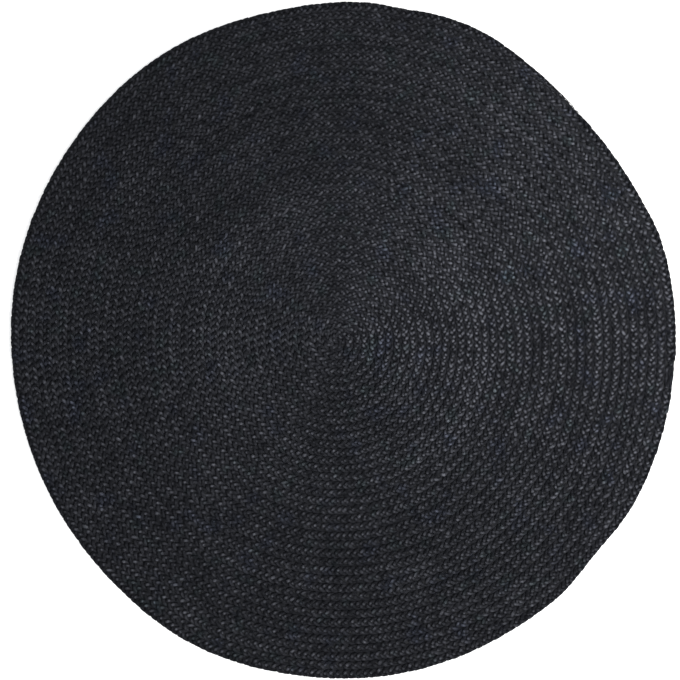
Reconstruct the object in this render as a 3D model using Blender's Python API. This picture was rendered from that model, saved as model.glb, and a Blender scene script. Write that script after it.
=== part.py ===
"""Round braided jute rug, about 1.5 m across, as one flat coiled solid.

Two flat three-strand plaits start side by side near the middle, wind outwards clockwise as a
double spiral, and are sewn edge to edge. Each plait shows on the face as a raised row with a
groove on both sides. Both plaits end at the rim, where their tails taper away one turn after
the row that they lie on. The rings are not quite round, nor centred on each other, because
the coil was sewn by hand.

Metres, +Z up. The origin is on the floor, below the middle of the rug's box. A bearing is in
degrees, counter-clockwise from +X, seen from above.
"""

import math

import bmesh
import bpy

# Thickness of the plait, and the shape of its rows
THICKNESS = 0.010  # floor to the crest of a row
GROOVE_DEPTH = 0.0028  # crest to the seam between two rows
LOOSE_DROP = 0.0008  # the slacker plait lies this much lower in the outer half
LOOSE_FROM_ROW = 20  # counted from the middle

# The coil
PLAITS = 2  # wound together, so a seam moves out by two rows in each turn
LAST_ROW = 42  # the seam number that the rim follows
SPOKES = 64  # columns of points round the coil
LINES_PER_ROW = 2  # one on the crest and one in the seam
INNERMOST_LINE = 0.6  # no line comes nearer to the middle, in rows

# The tails of both plaits taper between these bearings
TAIL_FULL_BEARING = 66.0
TAIL_GONE_BEARING = 44.0

# Rings of the coil. row counts from the middle, radius is the ring's mean radius, shift_x and
# shift_y place its centre, and oval and slant make it longer along X or along the diagonal.
RING_COLUMNS = ("row", "radius", "shift_x", "shift_y", "oval", "slant")
RINGS = (
    (0, 0.0000, -0.0112, 0.0020, 0.0000, 0.0000),
    (10, 0.1791, -0.0098, -0.0006, 0.0004, 0.0000),
    (20, 0.3566, -0.0065, -0.0037, -0.0011, -0.0008),
    (30, 0.5474, -0.0001, -0.0063, -0.0025, -0.0032),
    (41, 0.7559, 0.0124, -0.0108, -0.0033, -0.0051),
)

# The rim, as uneven as the real one: how far it stands off the mean radius at some bearings
RIM_RADIUS = 0.750
RIM_COLUMNS = ("bearing", "offset")
RIM = (
    (2.0, -0.0010),
    (18.0, 0.0000),
    (27.0, -0.0095),
    (42.0, -0.0140),
    (54.0, -0.0050),
    (66.0, 0.0105),
    (73.0, 0.0110),
    (80.0, 0.0060),
    (86.0, 0.0100),
    (102.0, 0.0035),
    (122.0, 0.0075),
    (147.0, -0.0015),
    (168.0, -0.0050),
    (192.0, -0.0105),
    (213.0, -0.0085),
    (228.0, -0.0025),
    (243.0, 0.0090),
    (261.0, 0.0075),
    (282.0, 0.0075),
    (303.0, 0.0020),
    (311.0, 0.0015),
    (320.0, -0.0080),
    (330.0, -0.0005),
    (345.0, -0.0020),
)
RIM_REACH_ROWS = 4.0  # how deep into the coil an uneven rim pushes the rows

# Section of the rim's own row, from its crest outwards: how far in from the rim, as a share of
# the way back to the crest, and the height there
RIM_SECTION = (
    (0.33, 0.82 * THICKNESS),
    (0.00, 0.45 * THICKNESS),
    (0.38, 0.0),
)

JUTE_COLOUR = (0.021, 0.022, 0.026, 1.0)
JUTE_ROUGHNESS = 0.85


def clear_scene():
    for obj in list(bpy.data.objects):
        bpy.data.objects.remove(obj, do_unlink=True)


def column(table, names, name):
    """One named column of a table, as a list."""
    place = names.index(name)
    return [entry[place] for entry in table]


def ring_value(row, name):
    """A column of RINGS at any row, straight between its entries and past the last one."""
    rows = column(RINGS, RING_COLUMNS, "row")
    values = column(RINGS, RING_COLUMNS, name)
    last = len(rows) - 2
    k = next((i for i in range(last) if row < rows[i + 1]), last)
    share = (row - rows[k]) / (rows[k + 1] - rows[k])
    return values[k] + share * (values[k + 1] - values[k])


def rim_radius(bearing):
    """Radius of the rim at a bearing: a smooth closed curve through the entries of RIM."""
    bearings = column(RIM, RIM_COLUMNS, "bearing")
    offsets = column(RIM, RIM_COLUMNS, "offset")
    count = len(bearings)
    turned = (bearing - bearings[0]) % 360.0 + bearings[0]
    k = max(i for i in range(count) if bearings[i] <= turned)

    def entry(i):
        return bearings[i % count] + 360.0 * (i // count), offsets[i % count]

    (b0, y0), (b1, y1), (b2, y2), (b3, y3) = (entry(i) for i in range(k - 1, k + 3))
    span = b2 - b1
    slope1 = (y2 - y0) / (b2 - b0) * span
    slope2 = (y3 - y1) / (b3 - b1) * span
    t = (turned - b1) / span
    offset = (
        (2 * t**3 - 3 * t**2 + 1) * y1
        + (t**3 - 2 * t**2 + t) * slope1
        + (3 * t**2 - 2 * t**3) * y2
        + (t**3 - t**2) * slope2
    )
    return RIM_RADIUS + offset


def ring_point(row, bearing):
    """A point of the coil as it would lie with a perfectly regular rim."""
    angle = math.radians(bearing)
    radius = (
        ring_value(row, "radius")
        + ring_value(row, "oval") * math.cos(2 * angle)
        + ring_value(row, "slant") * math.sin(2 * angle)
    )
    x = ring_value(row, "shift_x") + radius * math.cos(angle)
    y = ring_value(row, "shift_y") + radius * math.sin(angle)
    return x, y


def rim_gap(row_at_rim, bearing):
    """How far the rim lies outside the regular coil at a bearing, and the way outwards."""
    x, y = ring_point(row_at_rim, bearing)
    reach = math.hypot(x, y)
    outwards = (x / reach, y / reach)
    return rim_radius(math.degrees(math.atan2(y, x))) - reach, outwards


def coil_point(row, row_at_rim, bearing):
    """A point of the coil with its rows pushed in or out to follow the uneven rim."""
    gap, outwards = rim_gap(row_at_rim, bearing)
    push = gap * math.exp((row - row_at_rim) / RIM_REACH_ROWS)
    x, y = ring_point(row, bearing)
    return x + push * outwards[0], y + push * outwards[1]


def face_height(line, row, width=1.0):
    """Height of a line of points: odd lines are crests and even ones are seams.

    A row that has tapered to a share of its width has as much less of a groove.
    """
    if line % LINES_PER_ROW == 0:
        return THICKNESS - width * GROOVE_DEPTH
    slack = (line // LINES_PER_ROW) % PLAITS == 0 and row > LOOSE_FROM_ROW
    return THICKNESS - (LOOSE_DROP if slack else 0.0)


def tail_share(turned):
    """How much of the tails' width is left, for a bearing counted on past a full turn."""
    past_the_end = turned - (TAIL_GONE_BEARING + 360.0)
    share = past_the_end / (TAIL_FULL_BEARING - TAIL_GONE_BEARING)
    return min(max(share, 0.0), 1.0)


def spoke_lines(turned):
    """The lines that cross one spoke, from the middle out: line number and row from the middle.

    Line n is at row n / LINES_PER_ROW at bearing 0 and moves in by PLAITS rows in each
    counter-clockwise turn. Where the tails lie, their lines are squeezed onto the rim.
    """
    moved_in = PLAITS * turned / 360.0
    last_line = LAST_ROW * LINES_PER_ROW
    found = []
    for line in range(last_line + 1):
        row = line / LINES_PER_ROW - moved_in
        if row >= INNERMOST_LINE:
            found.append((line, row))
    width = tail_share(turned)
    if width > 0.0:
        for extra in range(1, PLAITS * LINES_PER_ROW + 1):
            row = LAST_ROW - moved_in + width * extra / LINES_PER_ROW
            found.append((last_line + extra, row))
    return found


def build_spoke(bm, turned):
    """Points of one spoke as {line: vertex}, and the vertices of its rim section."""
    lines = spoke_lines(turned)
    row_at_rim = lines[-1][1]
    face = {}
    for line, row in lines[:-1]:
        width = tail_share(turned) if line > LAST_ROW * LINES_PER_ROW else 1.0
        x, y = coil_point(row, row_at_rim, turned)
        face[line] = bm.verts.new((x, y, face_height(line, row, width)))
    crest = face[max(face)].co
    edge_x, edge_y = coil_point(row_at_rim, row_at_rim, turned)
    rim = []
    for in_share, height in RIM_SECTION:
        x = edge_x + in_share * (crest.x - edge_x)
        y = edge_y + in_share * (crest.y - edge_y)
        rim.append(bm.verts.new((x, y, height)))
    return face, rim


def stitch(bm, near, far):
    """Faces between two strings of vertices that run from the middle out.

    Each string is {line: vertex}. Lines that both hold are joined by two triangles a step,
    and lines that only one string holds at an end are fanned to the other's last vertex.
    """
    a = sorted(near)
    b = sorted(far)
    i = 0
    j = 0
    while i < len(a) - 1 or j < len(b) - 1:
        step_near = j == len(b) - 1 or (i < len(a) - 1 and a[i + 1] <= b[j + 1])
        if step_near:
            bm.faces.new((near[a[i]], near[a[i + 1]], far[b[j]]))
            i += 1
        else:
            bm.faces.new((near[a[i]], far[b[j + 1]], far[b[j]]))
            j += 1


def build_rug():
    """The coil as one closed mesh: ribbed face, rounded rim and flat underside."""
    bm = bmesh.new()
    spokes = [
        build_spoke(bm, TAIL_FULL_BEARING + 360.0 * k / SPOKES) for k in range(SPOKES)
    ]
    middle = bm.verts.new((*ring_point(0, 0.0), THICKNESS - GROOVE_DEPTH))
    lines_a_turn = PLAITS * LINES_PER_ROW
    for k, (near, rim) in enumerate(spokes):
        next_face, next_rim = spokes[(k + 1) % SPOKES]
        moved_out = lines_a_turn if k == SPOKES - 1 else 0
        far = {line + moved_out: vert for line, vert in next_face.items()}
        bm.faces.new((middle, near[min(near)], far[min(far)]))
        stitch(bm, {**near, max(near) + 1: rim[0]}, {**far, max(far) + 1: next_rim[0]})
        for step in range(len(rim) - 1):
            bm.faces.new((rim[step], rim[step + 1], next_rim[step + 1], next_rim[step]))
    bm.faces.new([rim[-1] for _, rim in reversed(spokes)])
    bmesh.ops.triangulate(bm, faces=bm.faces)
    return bm


def centre_on_box(bm):
    """Moves the mesh so that the middle of its box stands over the origin."""
    xs = [vert.co.x for vert in bm.verts]
    ys = [vert.co.y for vert in bm.verts]
    middle = ((min(xs) + max(xs)) / 2, (min(ys) + max(ys)) / 2, 0.0)
    bmesh.ops.translate(bm, verts=bm.verts, vec=[-c for c in middle])


def jute_material():
    mat = bpy.data.materials.new("jute")
    mat.use_nodes = True
    shader = mat.node_tree.nodes["Principled BSDF"]
    shader.inputs["Base Color"].default_value = JUTE_COLOUR
    shader.inputs["Roughness"].default_value = JUTE_ROUGHNESS
    shader.inputs["Metallic"].default_value = 0.0
    mat.diffuse_color = JUTE_COLOUR
    return mat


def main():
    clear_scene()
    bm = build_rug()
    centre_on_box(bm)
    mesh = bpy.data.meshes.new("rug")
    bm.to_mesh(mesh)
    bm.free()
    mesh.materials.append(jute_material())
    rug = bpy.data.objects.new("rug", mesh)
    bpy.context.scene.collection.objects.link(rug)


main()
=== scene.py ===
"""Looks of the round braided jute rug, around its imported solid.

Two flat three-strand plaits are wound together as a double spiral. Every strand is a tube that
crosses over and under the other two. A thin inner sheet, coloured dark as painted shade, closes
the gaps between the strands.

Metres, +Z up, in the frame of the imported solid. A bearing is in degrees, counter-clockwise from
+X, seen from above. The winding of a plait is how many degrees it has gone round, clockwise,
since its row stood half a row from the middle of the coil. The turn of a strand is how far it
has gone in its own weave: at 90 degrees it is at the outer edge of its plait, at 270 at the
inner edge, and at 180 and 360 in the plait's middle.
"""

import math

import bpy
import numpy as np
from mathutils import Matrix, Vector

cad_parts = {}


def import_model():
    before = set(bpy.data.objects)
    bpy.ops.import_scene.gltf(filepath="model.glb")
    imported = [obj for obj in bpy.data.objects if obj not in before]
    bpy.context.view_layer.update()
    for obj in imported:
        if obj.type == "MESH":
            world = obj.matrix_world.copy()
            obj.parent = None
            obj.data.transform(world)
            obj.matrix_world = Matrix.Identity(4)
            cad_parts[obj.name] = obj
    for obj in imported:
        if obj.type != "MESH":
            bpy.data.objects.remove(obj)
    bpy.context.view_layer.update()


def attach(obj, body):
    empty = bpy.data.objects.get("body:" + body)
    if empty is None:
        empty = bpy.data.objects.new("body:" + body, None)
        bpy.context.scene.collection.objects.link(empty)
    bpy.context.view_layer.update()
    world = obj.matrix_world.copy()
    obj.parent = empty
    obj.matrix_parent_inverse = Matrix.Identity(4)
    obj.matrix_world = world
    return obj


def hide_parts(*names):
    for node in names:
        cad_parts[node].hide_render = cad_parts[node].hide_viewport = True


# The coil, with the same values as the solid
THICKNESS = 0.010
LOOSE_DROP = 0.0008  # the loose plait lies this much lower in the outer half
LOOSE_FROM_ROW = 20
LAST_ROW = 42
TAIL_FULL_BEARING = 66.0
TAIL_GONE_BEARING = 44.0
TAIL_DEGREES = TAIL_FULL_BEARING - TAIL_GONE_BEARING
ROWS_PER_DEGREE = 1.0 / 180.0  # two plaits, so a row moves out by two rows in each turn

RING_COLUMNS = ("row", "radius", "shift_x", "shift_y", "oval", "slant")
RINGS = (
    (0, 0.0000, -0.0112, 0.0020, 0.0000, 0.0000),
    (10, 0.1791, -0.0098, -0.0006, 0.0004, 0.0000),
    (20, 0.3566, -0.0065, -0.0037, -0.0011, -0.0008),
    (30, 0.5474, -0.0001, -0.0063, -0.0025, -0.0032),
    (41, 0.7559, 0.0124, -0.0108, -0.0033, -0.0051),
)
RIM_RADIUS = 0.750
RIM_COLUMNS = ("bearing", "offset")
RIM = (
    (2.0, -0.0010),
    (18.0, 0.0000),
    (27.0, -0.0095),
    (42.0, -0.0140),
    (54.0, -0.0050),
    (66.0, 0.0105),
    (73.0, 0.0110),
    (80.0, 0.0060),
    (86.0, 0.0100),
    (102.0, 0.0035),
    (122.0, 0.0075),
    (147.0, -0.0015),
    (168.0, -0.0050),
    (192.0, -0.0105),
    (213.0, -0.0085),
    (228.0, -0.0025),
    (243.0, 0.0090),
    (261.0, 0.0075),
    (282.0, 0.0075),
    (303.0, 0.0020),
    (311.0, 0.0015),
    (320.0, -0.0080),
    (330.0, -0.0005),
    (345.0, -0.0020),
)
RIM_REACH_ROWS = 4.0
SPOKES = 64  # bearings at which the solid's rim has a corner

# The two plaits. The first is the slacker one. A pitch is how far it is from one bump on the face
# to the next bump on the same side of a plait, at some rows.
PLAITS = ("loose", "tight")
PITCH_ROWS = (2.0, 7.0, 14.5, 23.0, 29.0, 36.0)
PITCHES = {
    "loose": (0.0146, 0.0153, 0.0160, 0.0174, 0.0175, 0.0176),
    "tight": (0.0144, 0.0151, 0.0145, 0.0140, 0.0142, 0.0147),
}
STRANDS = 3
START_WINDING = -140.0  # the tip at which a plait starts
WINDING_STEP = 1.0  # the length of a plait is summed up in steps of this many degrees
TAIL_SHARE = 0.97  # how much of a tail is built, before it gets too thin
RINGS_PER_TURN = 12  # rings of a tube in one turn of its strand
SPLIT_ROW = 30.0  # each strand is made in two pieces, inside and outside this row
HALVES_BLEND_ROWS = 4.0  # over this many rows the inner half of the coil becomes the outer half

# A spliced patch in the row at the rim, where the strands run straight beside each other
SPLICE_PLAIT = "tight"
SPLICE_WINDING = 7025.5  # where its middle is, at a bearing of -5.5
SPLICE_REACH = 3.0  # degrees to each side of its middle
SPLICE_BLEND = 1.6  # degrees at each end in which the plait turns into the splice
SPLICE_SPACING = 0.30  # between its strands, in rows
SPLICE_FLATNESS = 0.8  # how much of the strands' rise is missing
SPLICE_TURN = 0.35  # its spots of wear and painted highlight are as at this share of a strand's turn, or half a turn on

# Section of a strand
HALF_WIDTH = 0.0042
HALF_THICKNESS = 0.0024
LOOSE_EXTRA_WIDTH = 0.0003  # added to the half width in the loose plait
SECTION_DEGREES = (-10.0, 40.0, 90.0, 140.0, 190.0, 270.0)
TOP_OF_STRAND = SECTION_DEGREES.index(90.0) / len(SECTION_DEGREES)
EDGE_SQUEEZE = 0.2  # a strand is this much slimmer where it turns at the plait's edge
SIZE_PER_WIDTH = 1.25  # size of a strand for the plait's width in rows, where 1 is its full size
TIP_SIZE = 0.12  # size of a strand at the tips of a plait

# The weave
SEAM_OVERLAP = 0.0012  # rows press into each other by this much
WEAVE_HEIGHT = 0.0026  # how far a strand rises and sinks about the plait's middle
WEAVE_SKEW = 0.65  # makes a strand highest where it crosses over the next one
LOOSE_FLATNESS = 0.16  # the loose plait's strands rise this much less
STEADY_RISE = 0.4  # share of the rise that stays as a strand tapers

# How uneven the weave is: the spread, how much more of it the loose plait has, and the number of
# rings over which it changes. The turn is in radians, the place across the plait in rows, and
# the others are shares of their own value.
UNEVEN = {
    "turn": (0.18, 0.0, 9),
    "width": (0.05, 0.05, 4),
    "thickness": (0.05, 0.0, 5),
    "across": (0.012, 0.0, 6),
    "rise": (0.05, 0.06, 5),
}
SWAY_SPREAD = 0.3  # radians by which the strands of a plait run ahead or behind together
SWAY_REACH = 30  # rings over which that changes

# The row at the rim
RIM_ROW_DEPTH = 1.0  # a plait is at the rim where its middle is fewer rows inside than this
RIM_ROW_BLEND = 0.3  # and wholly so where it is this many rows nearer
RIM_FULLNESS = 1.0  # how much longer its strands stay at the very edge
RIM_DARKNESS = 0.6  # how much darker its outer edge is painted, as painted shade
RIM_DARK_FROM = 0.2  # that begins at this share of the way from the plait's middle to its edge
RIM_DARK_BLEND = 0.5  # and is complete this share further out

# Uneven dye, and wear and painted highlights, along the strands
SHADE_SPREAD = 0.23  # from one bump to the next
SHADE_SWAY = 0.15  # with the sway of the whole plait
SHADE_DRIFT = 0.06  # over a longer stretch of the plait
DYE_REACH = 3  # rings over which the dye changes from one bump to the next
DRIFT_REACH = 90  # rings of that longer stretch
LOOSE_DULLNESS = 0.10  # the loose plait is this much darker in the outer half
SHADE_ROWS = (0.0, 8.0, 13.0, 18.0, 22.0, 28.0, 41.0)
SHADES = (1.06, 1.07, 1.17, 1.12, 0.98, 0.93, 0.95)  # at those rows, paler in the inner half
MIDDLE_CALM = 0.22  # the bumps stand out this much less at the very middle
MIDDLE_CALM_ROW = 6.0  # from this row outwards they stand out in full
TURN_SPREAD = 13.0  # degrees by which the pale spots stray along their strand
INNER_HALF_TURN = 4.0  # degrees by which they are further on in the inner half

# How pale the strands are painted in the spots of a plait's inner and outer side, in the seams
# beside them and in the gaps between, at bearings round the coil: partly wear, partly painted
# highlights on the crests and painted light and shade in the seams and gaps, which change round
# the coil as the light falls. A spot below 0 is darker than the gaps. The turns say where on their
# strand the spots lie.
WEAR_AND_PAINTED_LIGHT_COLUMNS = (
    "bearing",
    "inner_turn",
    "outer_turn",
    "inner_crest",
    "outer_crest",
    "inner_seam",
    "outer_seam",
    "gap",
)
WEAR_AND_PAINTED_LIGHT = (
    (0.0, 341.0, 159.0, 1.70, 1.44, 0.25, 0.25, 0.042),
    (45.0, 334.0, 150.0, 1.30, 1.06, 0.54, 0.50, 0.029),
    (90.0, 333.0, 152.0, 0.62, 0.68, 0.36, 0.27, 0.064),
    (135.0, 334.0, 150.0, 0.83, 0.20, 0.38, 0.42, 0.075),
    (180.0, 340.0, 150.0, 1.18, -0.03, 0.36, 0.46, 0.096),
    (225.0, 335.0, 150.0, 1.34, 0.22, 0.20, 0.22, 0.110),
    (270.0, 347.0, 154.0, 0.94, 0.52, 0.06, 0.08, 0.106),
    (315.0, 350.0, 152.0, 0.69, 1.14, 0.14, 0.28, 0.072),
)

# How much paler than its middle the inner side of each plait is in the outer half, at bearings
# round the coil: painted light. Its outer side is as much darker: painted shade.
LEAN_COLUMNS = ("bearing", "loose", "tight")
LEAN = (
    (0.0, 0.00, 0.02),
    (45.0, 0.04, 0.12),
    (90.0, 0.16, -0.08),
    (135.0, 0.06, -0.22),
    (180.0, 0.00, -0.28),
    (225.0, -0.02, -0.14),
    (270.0, 0.02, 0.00),
    (315.0, 0.00, 0.00),
)

# The bake's map of a tube: runs of equal length, laid one above the other, with a place at the
# top for the two caps. Margins are shares of a run's length and height.
BAKE_RUNS = 38
BAKE_END_MARGIN = 0.01
BAKE_SIDE_MARGIN = 0.04
BAKE_CAP_RADIUS = 0.3  # as a share of a run's height
BAKE_CAP_PLACES = (0.3, 0.7)

SEED = 20
PLAIT_SEEDS = 100  # from one plait's seed to the next
STRAND_SEEDS = 10  # from one strand's seed to the next


# ---------------------------------------------------------------- the coil


def column(table, names, name):
    """One named column of a table, as an array."""
    number = names.index(name)
    return np.array([entry[number] for entry in table], float)


def blend(value, start, length):
    """0 up to the start, and from there straight up to 1 over the length."""
    return np.clip((value - start) / length, 0.0, 1.0)


def ring_value(row, name):
    """A column of RINGS at any rows, straight between its entries and past the last one."""
    rows = column(RINGS, RING_COLUMNS, "row")
    values = column(RINGS, RING_COLUMNS, name)
    k = np.clip(np.searchsorted(rows, row, side="right") - 1, 0, len(rows) - 2)
    share = (row - rows[k]) / (rows[k + 1] - rows[k])
    return values[k] + share * (values[k + 1] - values[k])


def rim_radius(bearing):
    """Radius of the rim at any bearings: a smooth closed curve through the entries of RIM."""
    bearings = column(RIM, RIM_COLUMNS, "bearing")
    offsets = column(RIM, RIM_COLUMNS, "offset")
    count = len(bearings)
    turned = (bearing - bearings[0]) % 360.0 + bearings[0]
    k = np.searchsorted(bearings, turned, side="right") - 1

    def entry(i):
        return bearings[i % count] + 360.0 * (i // count), offsets[i % count]

    (b0, y0), (b1, y1), (b2, y2), (b3, y3) = (entry(k + step) for step in (-1, 0, 1, 2))
    span = b2 - b1
    slope1 = (y2 - y0) / (b2 - b0) * span
    slope2 = (y3 - y1) / (b3 - b1) * span
    t = (turned - b1) / span
    offset = (
        (2 * t**3 - 3 * t**2 + 1) * y1
        + (t**3 - 2 * t**2 + t) * slope1
        + (3 * t**2 - 2 * t**3) * y2
        + (t**3 - t**2) * slope2
    )
    return RIM_RADIUS + offset


def ring_point(row, bearing):
    """Points of the coil as it would lie with a perfectly regular rim."""
    angle = np.radians(bearing)
    radius = (
        ring_value(row, "radius")
        + ring_value(row, "oval") * np.cos(2 * angle)
        + ring_value(row, "slant") * np.sin(2 * angle)
    )
    x = ring_value(row, "shift_x") + radius * np.cos(angle)
    y = ring_value(row, "shift_y") + radius * np.sin(angle)
    return x, y


def row_at_rim(bearing):
    """The row, counted from the middle, that the rim has at any bearings."""
    turned = (bearing - TAIL_FULL_BEARING) % 360.0 + TAIL_FULL_BEARING
    tails = blend(turned, TAIL_GONE_BEARING + 360.0, TAIL_DEGREES)
    return LAST_ROW - turned * ROWS_PER_DEGREE + len(PLAITS) * tails


def coil_point(row, bearing):
    """Points of the coil with its rows pushed in or out to follow the uneven rim."""
    rim_row = row_at_rim(bearing)
    rim_x, rim_y = ring_point(rim_row, bearing)
    reach = np.hypot(rim_x, rim_y)
    gap = rim_radius(np.degrees(np.arctan2(rim_y, rim_x))) - reach
    push = gap * np.exp((row - rim_row) / RIM_REACH_ROWS) / reach
    x, y = ring_point(row, bearing)
    return x + push * rim_x, y + push * rim_y


def box_middle():
    """Where the middle of the solid's box lies in the coil's own coordinates."""
    spokes = TAIL_FULL_BEARING + 360.0 * np.arange(SPOKES) / SPOKES
    x, y = coil_point(row_at_rim(spokes), spokes)
    return (x.min() + x.max()) / 2, (y.min() + y.max()) / 2


MIDDLE_X, MIDDLE_Y = box_middle()


def place(row, bearing):
    """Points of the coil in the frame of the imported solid."""
    x, y = coil_point(row, bearing)
    return x - MIDDLE_X, y - MIDDLE_Y


# ---------------------------------------------------------------- the plaits


def start_bearing(plait):
    """The plaits start on opposite sides of the middle."""
    return 180.0 * PLAITS.index(plait)


def winding_range(plait):
    """The winding at the tip of the plait's start, and where its tail begins and ends."""
    lane = PLAITS.index(plait)
    row_here = LAST_ROW + lane + 0.5 - (TAIL_FULL_BEARING + 360.0) * ROWS_PER_DEGREE
    tail_begins = (row_here - 0.5) / ROWS_PER_DEGREE
    return START_WINDING, tail_begins, tail_begins + TAIL_SHARE * TAIL_DEGREES


def row_of(plait, winding):
    """Row of the plait's middle and its width in rows. It narrows at its start and its tail."""
    lane = PLAITS.index(plait)
    _, tail_begins, _ = winding_range(plait)
    tail = blend(winding, tail_begins, TAIL_DEGREES)
    start = np.clip(-winding * ROWS_PER_DEGREE, 0.0, 1.0)
    row = 0.5 + winding * ROWS_PER_DEGREE - (lane + 0.5) * tail + 0.5 * start
    return row, 1.0 - tail - start


def windings(plait):
    """The winding at every ring of the plait's tubes, and the phase of the weave there."""
    first, _, last = winding_range(plait)
    winding = np.arange(first, last, WINDING_STEP)
    row, _ = row_of(plait, winding)
    x, y = place(row, start_bearing(plait) - winding)
    steps = np.hypot(np.diff(x), np.diff(y))
    pitch = np.interp(row[1:], PITCH_ROWS, PITCHES[plait])
    phase = np.concatenate(([0.0], np.cumsum(2 * math.pi * steps / (STRANDS * pitch))))
    at = np.arange(0.0, phase[-1], 2 * math.pi / RINGS_PER_TURN)
    return np.interp(at, phase, winding), at


def wander(rng, count, reach):
    """Smooth random values with a spread of one, that change over about reach rings."""
    window = np.hanning(2 * reach + 1)
    noise = rng.standard_normal(count + 2 * reach)
    return np.convolve(noise, window, mode="valid")[:count] / math.sqrt((window**2).sum())


def looseness(plait, row):
    """0 where the plaits are alike, near the middle, and up to 1 for the loose one further out."""
    if plait == "tight":
        return np.zeros_like(row)
    return blend(row, LOOSE_FROM_ROW - HALVES_BLEND_ROWS / 2, HALVES_BLEND_ROWS)


def splice_share(plait, winding):
    """1 in the middle of the splice and 0 outside it."""
    if plait != SPLICE_PLAIT:
        return np.zeros_like(winding)
    from_middle = np.abs(winding - SPLICE_WINDING)
    return blend(SPLICE_REACH - from_middle, 0.0, SPLICE_BLEND)


def rim_share(row, bearing):
    """1 for a plait that lies at the rim and 0 for the plaits further in."""
    return blend(row, row_at_rim(bearing) - RIM_ROW_DEPTH, RIM_ROW_BLEND)


class Plait:
    """A plait at every ring of its tubes: what its three strands have in common."""

    def __init__(self, name):
        self.name = name
        self.winding, self.phase = windings(name)
        self.count = len(self.winding)
        self.bearing = start_bearing(name) - self.winding
        self.row, self.width = row_of(name, self.winding)
        self.loose = looseness(name, self.row)
        self.splice = splice_share(name, self.winding)
        self.at_rim = rim_share(self.row, self.bearing)
        self.seed = SEED + PLAIT_SEEDS * PLAITS.index(name)
        rng = np.random.default_rng(self.seed)
        self.sway = SWAY_SPREAD * wander(rng, self.count, SWAY_REACH)
        self.drift = wander(rng, self.count, DRIFT_REACH)

    def uneven(self, name, rng):
        """Random values along one strand, as uneven as UNEVEN says by that name."""
        spread, extra, reach = UNEVEN[name]
        return (spread + extra * self.loose) * wander(rng, self.count, reach)


# ---------------------------------------------------------------- the strands


def strand_section(plait, turn, rng):
    """Size of a strand, as a share of its full size, and its half width and half thickness."""
    size = np.clip(SIZE_PER_WIDTH * plait.width, TIP_SIZE, 1.0)
    squeeze = 1.0 - EDGE_SQUEEZE * np.sin(turn) ** 4
    half_width = (HALF_WIDTH + LOOSE_EXTRA_WIDTH * plait.loose) * size
    half_width = half_width * squeeze * (1.0 + plait.uneven("width", rng))
    half_thickness = HALF_THICKNESS * size * squeeze * (1.0 + plait.uneven("thickness", rng))
    return size, half_width, half_thickness


def strand_side(plait, turn):
    """Where a strand is in its plait, from -1 at the inner edge to 1 at the outer edge."""
    side = np.sin(turn)
    return side + RIM_FULLNESS * plait.at_rim * np.clip(side, 0.0, 1.0) * (1.0 - side)


def strand_across(plait, strand, turn, size, rng):
    """How many rows a strand lies outside the middle of its plait."""
    row_pitch = ring_value(plait.row + 0.5, "radius") - ring_value(plait.row - 0.5, "radius")
    at_edge = (1.0 - EDGE_SQUEEZE) * HALF_WIDTH * size - SEAM_OVERLAP
    swing = np.maximum(0.5 * plait.width - at_edge / row_pitch, 0.0)
    woven = swing * strand_side(plait, turn)
    beside = SPLICE_SPACING * (strand - 1)
    return woven + plait.splice * (beside - woven) + plait.uneven("across", rng)


def strand_height(plait, turn, size, half_thickness, rng):
    """Height of a strand's centreline, which never brings its underside below the floor."""
    rise = WEAVE_HEIGHT * (1.0 - LOOSE_FLATNESS * plait.loose)
    rise = rise * (STEADY_RISE + (1.0 - STEADY_RISE) * size)
    rise = rise * (1.0 + plait.uneven("rise", rng)) * (1.0 - SPLICE_FLATNESS * plait.splice)
    middle = (THICKNESS - LOOSE_DROP * plait.loose) / 2
    z = middle - rise * np.sin(2 * turn + WEAVE_SKEW * np.sin(2 * turn))
    return np.maximum(z, half_thickness)


def lean_round_coil(plait):
    """Painted light and shade: how much paler the plait's inner side is than its middle, and its
    outer side darker.
    """
    leans = column(LEAN, LEAN_COLUMNS, plait.name)
    lean = np.interp(plait.bearing, column(LEAN, LEAN_COLUMNS, "bearing"), leans, period=360.0)
    return lean * blend(plait.row, LOOSE_FROM_ROW - HALVES_BLEND_ROWS, HALVES_BLEND_ROWS)


def strand_shade(plait, turn, rng):
    """How pale a strand is painted as a whole, where 1 is as usual: uneven dye, with painted light
    and shade on the plait's sides and painted shade at the rim.
    """
    uneven = SHADE_SPREAD * wander(rng, plait.count, DYE_REACH)
    shade = np.exp(uneven + SHADE_SWAY * plait.sway + SHADE_DRIFT * plait.drift)
    shade = shade * (1.0 - LOOSE_DULLNESS * plait.loose)
    shade = shade * np.interp(plait.row, SHADE_ROWS, SHADES)
    # Painted light and shade: one side of the plait paler, the other darker
    shade = shade * (1.0 - lean_round_coil(plait) * np.sin(turn))
    # Painted shade along the outer edge of the row at the rim
    outside = blend(strand_side(plait, turn), RIM_DARK_FROM, RIM_DARK_BLEND)
    return shade * (1.0 - RIM_DARKNESS * plait.at_rim * outside)


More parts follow.
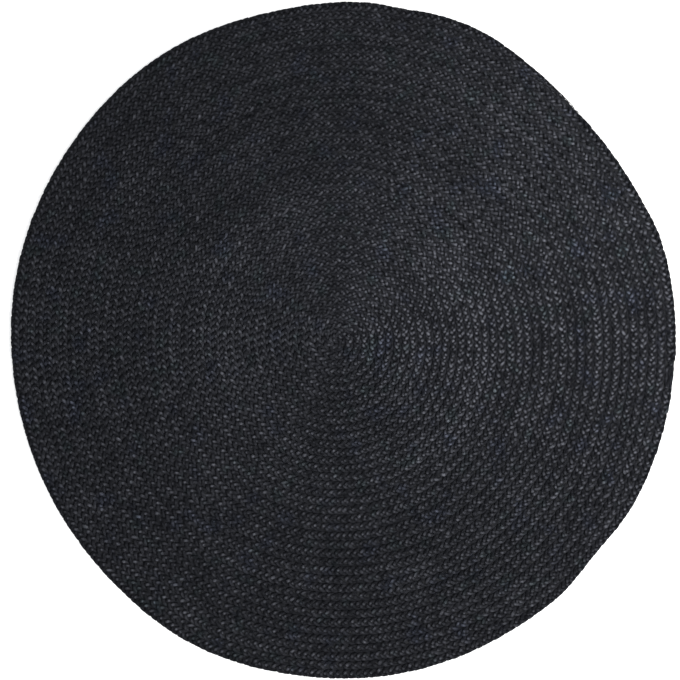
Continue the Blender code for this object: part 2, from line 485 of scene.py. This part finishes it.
def strand_wear_and_painted_light(plait, rng):
    """Every column of the table of wear and painted light along a strand, by name, with spots that
    stray from bump to bump.
    """
    bearings = column(WEAR_AND_PAINTED_LIGHT, WEAR_AND_PAINTED_LIGHT_COLUMNS, "bearing")
    worn_and_painted_light = {
        name: np.interp(plait.bearing, bearings, column(WEAR_AND_PAINTED_LIGHT, WEAR_AND_PAINTED_LIGHT_COLUMNS, name), period=360.0)
        for name in WEAR_AND_PAINTED_LIGHT_COLUMNS[1:]
    }
    inner_half = blend(LOOSE_FROM_ROW - plait.row, 0.0, HALVES_BLEND_ROWS)
    calm = MIDDLE_CALM * (1.0 - blend(plait.row, 0.0, MIDDLE_CALM_ROW))
    for side in ("inner", "outer"):
        stray = TURN_SPREAD * wander(rng, plait.count, DYE_REACH)
        worn_and_painted_light[f"{side}_turn"] = worn_and_painted_light[f"{side}_turn"] + INNER_HALF_TURN * inner_half + stray
        worn_and_painted_light[f"{side}_crest"] = worn_and_painted_light[f"{side}_crest"] * (1.0 - calm)
    worn_and_painted_light["gap"] = worn_and_painted_light["gap"] * (1.0 + calm)
    return worn_and_painted_light


def splice_spot_turn(plait, turn):
    """The turn by which a strand's spots of wear and painted highlight are placed: its own, but
    the same all along the splice.
    """
    middle_turn = np.interp(SPLICE_WINDING, plait.winding, turn)
    still = math.pi * round(middle_turn / math.pi) + 2 * math.pi * SPLICE_TURN
    return turn + plait.splice * (still - turn)


def strand_path(plait, strand):
    """Centreline, section, and dye with painted light and shade, of one strand at every ring.

    The order of these calls is the order of the random draws.
    """
    rng = np.random.default_rng(plait.seed + STRAND_SEEDS * (strand + 1))
    turn = plait.phase + plait.sway + 2 * math.pi * strand / STRANDS + plait.uneven("turn", rng)
    size, half_width, half_thickness = strand_section(plait, turn, rng)
    x, y = place(plait.row + strand_across(plait, strand, turn, size, rng), plait.bearing)
    z = strand_height(plait, turn, size, half_thickness, rng)
    shade = strand_shade(plait, turn, rng)
    # The shade and the wear columns carry painted light and shade as well as the dye
    return {
        "points": np.stack([x, y, z], 1),
        "half_width": half_width,
        "half_thickness": half_thickness,
        "turn": splice_spot_turn(plait, turn),
        "dye_and_painted_light": {"shade": shade, **strand_wear_and_painted_light(plait, rng)},
    }


# ---------------------------------------------------------------- meshes


def unit(vectors):
    """The same directions with a length of one."""
    return vectors / np.linalg.norm(vectors, axis=-1, keepdims=True)


def new_object(name, points, faces):
    """A smooth mesh object. faces is a list of arrays, each with one face per line."""
    mesh = bpy.data.meshes.new(name)
    corners = np.concatenate([block.ravel() for block in faces])
    sizes = np.concatenate([np.full(len(block), block.shape[1]) for block in faces])
    mesh.vertices.add(len(points))
    mesh.vertices.foreach_set("co", points.astype(np.float32).ravel())
    mesh.loops.add(len(corners))
    mesh.loops.foreach_set("vertex_index", corners.astype(np.int32))
    mesh.polygons.add(len(sizes))
    starts = np.concatenate(([0], np.cumsum(sizes)[:-1]))
    mesh.polygons.foreach_set("loop_start", starts.astype(np.int32))
    mesh.polygons.foreach_set("use_smooth", np.ones(len(sizes), bool))
    mesh.update(calc_edges=True)
    mesh.validate()
    obj = bpy.data.objects.new(name, mesh)
    bpy.context.scene.collection.objects.link(obj)
    return obj


def add_values(obj, name, values):
    """A value at every point of a mesh, which its material reads by name."""
    attribute = obj.data.attributes.new(name, "FLOAT", "POINT")
    attribute.data.foreach_set("value", values.astype(np.float32))


def add_map(obj, name, u, v, caps):
    """A UV map of a tube: u and v at the corners of its walls, and pairs at those of its caps."""
    walls = np.stack([u, v], -1).reshape(-1, 2)
    layer = obj.data.uv_layers.new(name=name)
    layer.data.foreach_set("uv", np.concatenate([walls, caps]).astype(np.float32).ravel())


def wall_corners(count):
    """The ring of every corner of a tube's walls, and its share of the way round the strand."""
    sides = len(SECTION_DEGREES)
    ring, side = np.indices((count - 1, sides))
    corner_ring = np.stack([ring, ring, ring + 1, ring + 1], -1)
    corner_side = np.stack([side, side + 1, side + 1, side], -1)
    return corner_ring, corner_side / sides


def add_strand_maps(obj, points, turn):
    """Where a corner is on the strand, in metres along and round it, and where in the weave."""
    ring, around = wall_corners(len(points))
    steps = np.linalg.norm(np.diff(points, axis=0), axis=1)
    length = np.concatenate(([0.0], np.cumsum(steps)))
    girth = math.pi * (HALF_WIDTH + HALF_THICKNESS)
    turns = turn / (2 * math.pi)
    caps = np.zeros((2 * len(SECTION_DEGREES), 2))
    add_map(obj, "strand", length[ring], around * girth, caps)
    add_map(obj, "weave", turns[ring], around, caps)


def add_bake_map(obj, count):
    """The bake's own map, in which nothing overlaps."""
    ring, around = wall_corners(count)
    per_run = math.ceil((count - 1) / (BAKE_RUNS - 1))
    run = np.minimum(ring[..., :1] // per_run, BAKE_RUNS - 2)
    in_run = (ring - run * per_run) / per_run
    u = BAKE_END_MARGIN + (1.0 - 2 * BAKE_END_MARGIN) * in_run
    v = (run + BAKE_SIDE_MARGIN + (1.0 - 2 * BAKE_SIDE_MARGIN) * around) / BAKE_RUNS
    sides = len(SECTION_DEGREES)
    angle = 2 * math.pi * np.arange(sides) / sides
    cap = np.stack([np.cos(angle), np.sin(angle)], 1) * BAKE_CAP_RADIUS / BAKE_RUNS
    top = (BAKE_RUNS - 0.5) / BAKE_RUNS
    caps = np.concatenate([cap + (cap_place, top) for cap_place in BAKE_CAP_PLACES])
    add_map(obj, "OFBake", u, v, caps)


def tube_skin(points, half_width, half_thickness):
    """Points of a strand's section round every point of its centreline."""
    along = unit(np.gradient(points, axis=0))
    sideways = unit(np.stack([-along[:, 1], along[:, 0], np.zeros(len(points))], 1))
    upwards = np.cross(along, sideways)
    angle = np.radians(SECTION_DEGREES)
    wide = half_width[:, None] * np.cos(angle)
    high = half_thickness[:, None] * np.sin(angle)
    return (
        points[:, None, :]
        + wide[:, :, None] * sideways[:, None, :]
        + high[:, :, None] * upwards[:, None, :]
    )


def tube(name, path, first, last):
    """The tube of a strand from one ring to another, closed at both ends."""
    points = path["points"][first:last]
    skin = tube_skin(points, path["half_width"][first:last], path["half_thickness"][first:last])
    count, sides, _ = skin.shape
    index = np.arange(count * sides).reshape(count, sides)
    turned = np.roll(index, -1, axis=1)
    walls = np.stack([index[:-1], turned[:-1], turned[1:], index[1:]], -1).reshape(-1, 4)
    caps = np.stack([index[0][::-1], index[-1]])
    obj = new_object(name, skin.reshape(-1, 3), [walls, caps])
    add_strand_maps(obj, points, path["turn"][first:last])
    add_bake_map(obj, count)
    # Dye, wear and painted light and shade at every point, which the material reads by name
    for dye_and_light_name, values in path["dye_and_painted_light"].items():
        add_values(obj, dye_and_light_name, np.repeat(values[first:last], sides))
    return obj


def build_plaits(material):
    """Every strand of both plaits, in an inner and an outer piece."""
    pieces = []
    for plait in map(Plait, PLAITS):
        split = int(np.searchsorted(plait.row, SPLIT_ROW))
        ranges = {"inner": (0, split + 1), "outer": (split, plait.count)}
        for strand in range(STRANDS):
            path = strand_path(plait, strand)
            for part, (first, last) in ranges.items():
                name = f"{plait.name}_plait_strand_{strand + 1}_{part}"
                obj = tube(name, path, first, last)
                obj.data.materials.append(material)
                pieces.append(obj)
    return pieces


# ---------------------------------------------------------------- the inner sheet

SHEET_SPOKES = 180
SHEET_LINES_PER_ROW = 2
SHEET_TOP = 0.0056
SHEET_SEAM_TOP = 0.0044
SHEET_BOTTOM = 0.0030
SHEET_INSET_ROWS = 0.06  # the sheet's edge stays this far inside the rim


def sheet_points(lines):
    """Points of the sheet's face, line by line from the middle out, of its foot and its middle."""
    bearing = 360.0 * np.arange(SHEET_SPOKES) / SHEET_SPOKES
    edge_row = row_at_rim(bearing) - SHEET_INSET_ROWS
    share = (np.arange(lines) + 1) / lines
    row = share[:, None] * edge_row[None, :]
    x, y = place(row, bearing[None, :] + np.zeros_like(row))
    seam = np.cos(2 * math.pi * (row + bearing[None, :] * ROWS_PER_DEGREE))
    top = SHEET_TOP - (SHEET_TOP - SHEET_SEAM_TOP) * (0.5 + 0.5 * seam)
    face = np.stack([x, y, top], -1).reshape(-1, 3)
    foot = np.stack([x[-1], y[-1], np.full(SHEET_SPOKES, SHEET_BOTTOM)], -1)
    middle_x, middle_y = place(np.zeros(1), np.zeros(1))
    middle = [(middle_x[0], middle_y[0], height) for height in (SHEET_TOP, SHEET_BOTTOM)]
    return np.concatenate([face, foot, middle])


def build_sheet(material):
    """A thin sheet halfway up the plaits, ribbed as the rows are, which closes their gaps,
    coloured as painted shade.
    """
    lines = SHEET_LINES_PER_ROW * (LAST_ROW - 1)
    index = np.arange(lines * SHEET_SPOKES).reshape(lines, SHEET_SPOKES)
    turned = np.roll(index, -1, axis=1)
    face = np.stack([index[:-1], index[1:], turned[1:], turned[:-1]], -1).reshape(-1, 4)
    foot = lines * SHEET_SPOKES + np.arange(SHEET_SPOKES)
    foot_turned = np.roll(foot, -1)
    rim = np.stack([index[-1], foot, foot_turned, turned[-1]], -1)
    top_middle = (lines + 1) * SHEET_SPOKES
    hub = np.stack([np.full(SHEET_SPOKES, top_middle), index[0], turned[0]], -1)
    base = np.stack([np.full(SHEET_SPOKES, top_middle + 1), foot_turned, foot], -1)
    sheet = new_object("inner_sheet", sheet_points(lines), [face, rim, hub, base])
    sheet.data.materials.append(material)
    return sheet


# ---------------------------------------------------------------- materials


class Nodes:
    """Short calls that add nodes to a new material and link them."""

    def __init__(self, name):
        self.material = bpy.data.materials.new(name)
        self.material.use_nodes = True
        self.tree = self.material.node_tree
        self.shader = self.tree.nodes["Principled BSDF"]

    def add(self, kind, settings=(), inputs=()):
        node = self.tree.nodes.new(kind)
        for key, value in dict(settings).items():
            setattr(node, key, value)
        for key, value in dict(inputs).items():
            self.feed(node.inputs[key], value)
        return node

    def feed(self, socket, value):
        if isinstance(value, bpy.types.NodeSocket):
            self.tree.links.new(value, socket)
        else:
            socket.default_value = value

    def math(self, operation, first, second=0.0, clamp=False):
        """One sum of one or two values. clamp keeps it between 0 and 1."""
        settings = {"operation": operation, "use_clamp": clamp}
        return self.add("ShaderNodeMath", settings, {0: first, 1: second}).outputs[0]

    def noise(self, vector, scale, detail=2.0, roughness=0.5):
        inputs = {"Vector": vector, "Scale": scale, "Detail": detail, "Roughness": roughness}
        return self.add("ShaderNodeTexNoise", {}, inputs).outputs["Fac"]

    def stretch(self, value, low, high, to_low, to_high):
        """A value that goes from to_low to to_high while another goes from low to high."""
        inputs = {0: value, 1: low, 2: high, 3: to_low, 4: to_high}
        return self.add("ShaderNodeMapRange", {"clamp": True}, inputs).outputs[0]

    def value(self, name):
        """A value that the mesh carries at its points."""
        return self.add("ShaderNodeAttribute", {"attribute_name": name}).outputs["Fac"]

    def mix(self, share, first, second, blend_type="MIX"):
        node = self.add("ShaderNodeMix", {"data_type": "RGBA", "blend_type": blend_type})
        self.feed(node.inputs["Factor"], share)
        self.feed(node.inputs[6], first)
        self.feed(node.inputs[7], second)
        return node.outputs[2]

    def map_parts(self, name):
        """The two coordinates of a UV map."""
        uv = self.add("ShaderNodeUVMap", {"uv_map": name}).outputs[0]
        parts = self.add("ShaderNodeSeparateXYZ", {}, {0: uv})
        return parts.outputs[0], parts.outputs[1]


# The strands are painted pale in a spot on each bump, and less so in the seams: partly wear,
# partly painted highlight and painted light and shade
CREST_SHARPNESS = 19.0  # along the strand
CREST_HALF_WIDTH = 0.15  # as a share of the way round the strand
SEAM_SHARPNESS = 4.0

DYE_DARK = (0.0028, 0.0031, 0.0044, 1.0)
DYE_LIGHT = (0.164, 0.168, 0.194, 1.0)

# Fibres as noise along the strand and round it, in cells a metre, and how much detail it has
COARSE_FIBRES = (70.0, 1100.0, 3.0)
FINE_FIBRES = (220.0, 4200.0, 2.0)
YARN_WIDTH = 0.0021
YARN_TWIST = 55.0  # turns a metre
YARN_UNEVENNESS = 3.0  # radians by which coarse fibres push a yarn aside
PATCH_NOISE = (9.0, 4.0, 0.65)  # cells a metre, detail and roughness

# What they do to the jute: between the first two values, it goes from the third to the fourth
COARSE_LIGHTNESS = (0.28, 0.74, 0.12, 0.92)
FINE_LIGHTNESS = (0.30, 0.75, 0.45, 1.35)
YARN_LIGHTNESS = (0.0, 1.0, 0.65, 1.1)
PATCH_LIGHTNESS = (0.33, 0.67, 0.86, 1.14)
COARSE_ROUGHNESS = (0.3, 0.7, 0.72, 0.48)

# Bluish and greenish patches: cells a metre, how strong they are (as above), and their tint
TINT_DETAIL = 1.0
TINTS = (
    (16.0, (0.58, 0.72, 0.0, 0.35), (0.72, 0.88, 1.28, 1.0)),
    (23.0, (0.60, 0.72, 0.0, 0.4), (0.72, 1.08, 0.95, 1.0)),
)

YARN_RELIEF = 0.55
COARSE_RELIEF = 0.6
FINE_RELIEF = 0.35
RELIEF_HEIGHT = 0.0007
RELIEF_STRENGTH = 0.9

JUTE_FINISH = {
    "Specular IOR Level": 0.06,
    "Sheen Weight": 0.02,
    "Sheen Roughness": 0.45,
    "Sheen Tint": (0.72, 0.80, 1.0, 1.0),
}

SHEET_ROUGHNESS = 0.9
SHEET_GRAIN = 900.0  # cells a metre
SHEET_DARK = (0.005, 0.0055, 0.0068, 1.0)
SHEET_LIGHT = (0.013, 0.0138, 0.0165, 1.0)

FLOOR_COLOUR = (0.92, 0.92, 0.92, 1.0)
FLOOR_ROUGHNESS = 0.9
FLOOR_GLOW_COLOUR = (1.0, 1.0, 1.0, 1.0)
FLOOR_GLOW = 0.6  # makes the backdrop as white as the photograph's


def wear_and_painted_light(n):
    """How pale a point of a strand is painted, from its crests and seams of both sides: partly
    wear, partly painted highlights and painted light and shade.
    """
    turn, around = n.map_parts("weave")
    aside = n.math("DIVIDE", n.math("SUBTRACT", around, TOP_OF_STRAND), CREST_HALF_WIDTH)
    aside = n.math("MULTIPLY", aside, aside)
    outwards = n.math("SINE", n.math("MULTIPLY", turn, 2 * math.pi))
    worn_and_painted_light = n.value("gap")
    for side, direction in (("inner", -1.0), ("outer", 1.0)):
        past_crest = n.math("SUBTRACT", turn, n.math("DIVIDE", n.value(f"{side}_turn"), 360.0))
        along = n.math("COSINE", n.math("MULTIPLY", past_crest, 2 * math.pi))
        along = n.math("MULTIPLY", n.math("SUBTRACT", along, 1.0), CREST_SHARPNESS)
        crest = n.math("EXPONENT", n.math("SUBTRACT", along, aside))
        crest = n.math("MULTIPLY", crest, n.value(f"{side}_crest"))
        seam = n.math("MAXIMUM", n.math("MULTIPLY", outwards, direction), 0.0)
        seam = n.math("POWER", seam, SEAM_SHARPNESS)
        seam = n.math("MULTIPLY", seam, n.value(f"{side}_seam"))
        worn_and_painted_light = n.math("ADD", worn_and_painted_light, n.math("ADD", crest, seam))
    return worn_and_painted_light


def fibres(n):
    """Coarse fibres, fine fibres and twisted yarns that run along each strand, from 0 to 1."""
    along, around = n.map_parts("strand")

    def streaks(along_scale, around_scale, detail):
        inputs = {
            0: n.math("MULTIPLY", along, along_scale),
            1: n.math("MULTIPLY", around, around_scale),
            2: 0.0,
        }
        vector = n.add("ShaderNodeCombineXYZ", {}, inputs).outputs[0]
        return n.noise(vector, 1.0, detail)

    coarse = streaks(*COARSE_FIBRES)
    fine = streaks(*FINE_FIBRES)
    yarn_turn = n.math("MULTIPLY", around, 2 * math.pi / YARN_WIDTH)
    yarn_turn = n.math("ADD", yarn_turn, n.math("MULTIPLY", along, 2 * math.pi * YARN_TWIST))
    yarn_turn = n.math("ADD", yarn_turn, n.math("MULTIPLY", coarse, YARN_UNEVENNESS))
    yarn = n.math("ADD", n.math("MULTIPLY", n.math("SINE", yarn_turn), 0.5), 0.5)
    return coarse, fine, yarn


def dye_and_painted_light_colour(n, coarse, fine, yarn):
    """Colour of the dye: uneven from fibre to fibre and place to place, worn pale on the bumps,
    with painted highlights and painted light and shade.
    """
    where = n.add("ShaderNodeTexCoord").outputs["Object"]
    lightness = n.stretch(coarse, *COARSE_LIGHTNESS)
    lightness = n.math("MULTIPLY", lightness, n.stretch(fine, *FINE_LIGHTNESS))
    lightness = n.math("MULTIPLY", lightness, n.stretch(yarn, *YARN_LIGHTNESS))
    patch = n.stretch(n.noise(where, *PATCH_NOISE), *PATCH_LIGHTNESS)
    lightness = n.math("MULTIPLY", lightness, patch)
    # Wear, painted highlights on the crests and painted light and shade in the seams and gaps
    lightness = n.math("MULTIPLY", lightness, wear_and_painted_light(n))
    # Uneven dye, with painted light and shade on the plaits' sides and painted shade at the rim
    lightness = n.math("MULTIPLY", lightness, n.value("shade"), clamp=True)
    colour = n.mix(lightness, DYE_DARK, DYE_LIGHT)
    for scale, strength, tint in TINTS:
        share = n.stretch(n.noise(where, scale, TINT_DETAIL), *strength)
        colour = n.mix(share, colour, tint, "MULTIPLY")
    return colour


def fibre_relief(n, coarse, fine, yarn):
    """The fine relief of yarns and fibres, as the way that the surface faces."""
    height = n.math("MULTIPLY", yarn, YARN_RELIEF)
    height = n.math("ADD", height, n.math("MULTIPLY", coarse, COARSE_RELIEF))
    height = n.math("ADD", height, n.math("MULTIPLY", fine, FINE_RELIEF))
    inputs = {"Height": height, "Distance": RELIEF_HEIGHT, "Strength": RELIEF_STRENGTH}
    return n.add("ShaderNodeBump", {}, inputs).outputs[0]


def jute_material():
    """Dyed jute: fibres and yarns that run along each strand, a dull sheen and uneven dye, with
    painted highlights and painted light and shade in its colour.
    """
    n = Nodes("dyed jute strands")
    coarse, fine, yarn = fibres(n)
    n.feed(n.shader.inputs["Base Color"], dye_and_painted_light_colour(n, coarse, fine, yarn))
    n.feed(n.shader.inputs["Roughness"], n.stretch(coarse, *COARSE_ROUGHNESS))
    n.feed(n.shader.inputs["Normal"], fibre_relief(n, coarse, fine, yarn))
    for name, value in JUTE_FINISH.items():
        n.feed(n.shader.inputs[name], value)
    return n.material


def sheet_material():
    """Jute deep between the strands, painted dark as the shade where little light falls."""
    n = Nodes("dyed jute between the strands")
    where = n.add("ShaderNodeTexCoord").outputs["Object"]
    # Painted shade: a dark colour where the strands leave gaps
    colour = n.mix(n.noise(where, SHEET_GRAIN), SHEET_DARK, SHEET_LIGHT)
    n.feed(n.shader.inputs["Base Color"], colour)
    n.feed(n.shader.inputs["Roughness"], SHEET_ROUGHNESS)
    return n.material


def floor_material():
    """Plain white, faintly lit by itself."""
    n = Nodes("pale floor")
    n.feed(n.shader.inputs["Base Color"], FLOOR_COLOUR)
    n.feed(n.shader.inputs["Roughness"], FLOOR_ROUGHNESS)
    n.feed(n.shader.inputs["Emission Color"], FLOOR_GLOW_COLOUR)
    n.feed(n.shader.inputs["Emission Strength"], FLOOR_GLOW)
    return n.material


# ---------------------------------------------------------------- floor, light and camera

# Radius and height of the floor's rings
FLOOR_PROFILE = ((5.0, 0.0), (11.0, 0.0), (13.0, 0.3), (14.5, 1.2), (15.3, 2.6), (15.5, 5.0))
FLOOR_SIDES = 96

# Where the lights stand, what they shine on, how wide they are, and their watts
LIGHTS = {
    "key light": ((2.2, -3.1, 2.7), (0.0, 0.0, 0.0), 1.8, 165.0),
    "side light": ((1.2, 0.6, 1.3), (0.45, 0.2, 0.0), 0.9, 17.0),
}
SURROUND_COLOUR = (0.93, 0.96, 1.0, 1.0)
SURROUND_STRENGTH = 0.35

PHOTO_SIDE_PX = 680
PHOTO_SCALE = 0.0022405  # metres of the rug's face in one pixel
OUTLINE_CENTRE_PX = (342.0, 340.5)
LENS = 85.0
SENSOR = 36.0


def build_floor():
    """A pale studio floor that curves up into its backdrop all round."""
    angle = 2 * math.pi * np.arange(FLOOR_SIDES) / FLOOR_SIDES
    ring = np.stack([np.cos(angle), np.sin(angle), np.zeros(FLOOR_SIDES)], 1)
    rings = [ring * radius + (0.0, 0.0, height) for radius, height in FLOOR_PROFILE]
    index = np.arange(len(rings) * FLOOR_SIDES).reshape(len(rings), FLOOR_SIDES)
    turned = np.roll(index, -1, axis=1)
    walls = np.stack([index[:-1], index[1:], turned[1:], turned[:-1]], -1).reshape(-1, 4)
    floor = new_object("floor", np.concatenate(rings), [index[:1], walls])
    floor.data.materials.append(floor_material())


def area_light(name, location, target, size, power):
    """A round white light that shines on its target and isn't seen itself."""
    light = bpy.data.lights.new(name, "AREA")
    light.shape = "DISK"
    light.size = size
    light.energy = power
    obj = bpy.data.objects.new(name, light)
    obj.location = location
    way = Vector(target) - Vector(location)
    obj.rotation_euler = way.to_track_quat("-Z", "Y").to_euler()
    obj.visible_camera = False
    bpy.context.scene.collection.objects.link(obj)


def build_lights():
    """A key from the lower right, a weak light on the right side, and a pale surround."""
    for name, (location, target, size, power) in LIGHTS.items():
        area_light(name, location, target, size, power)
    world = bpy.data.worlds.new("soft studio")
    world.use_nodes = True
    background = world.node_tree.nodes["Background"]
    background.inputs["Color"].default_value = SURROUND_COLOUR
    background.inputs["Strength"].default_value = SURROUND_STRENGTH
    bpy.context.scene.world = world
    bpy.context.scene.view_settings.view_transform = "Standard"


def build_camera():
    """Straight above, with the photograph's frame at the height of the rug's face."""
    half = PHOTO_SIDE_PX / 2
    x = (half - OUTLINE_CENTRE_PX[0]) * PHOTO_SCALE - MIDDLE_X
    y = (OUTLINE_CENTRE_PX[1] - half) * PHOTO_SCALE - MIDDLE_Y
    distance = PHOTO_SIDE_PX * PHOTO_SCALE * LENS / SENSOR
    data = bpy.data.cameras.new("camera")
    data.lens = LENS
    data.sensor_width = SENSOR
    camera = bpy.data.objects.new("camera", data)
    camera.location = (x, y, THICKNESS + distance)
    bpy.context.scene.collection.objects.link(camera)
    bpy.context.scene.camera = camera


# ---------------------------------------------------------------- all of it


def main():
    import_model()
    jute = jute_material()
    pieces = build_plaits(jute)
    sheet = build_sheet(sheet_material())
    for piece in [*pieces, sheet]:
        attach(piece, "root")
        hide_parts("rug")
    build_floor()
    build_lights()
    build_camera()


main()
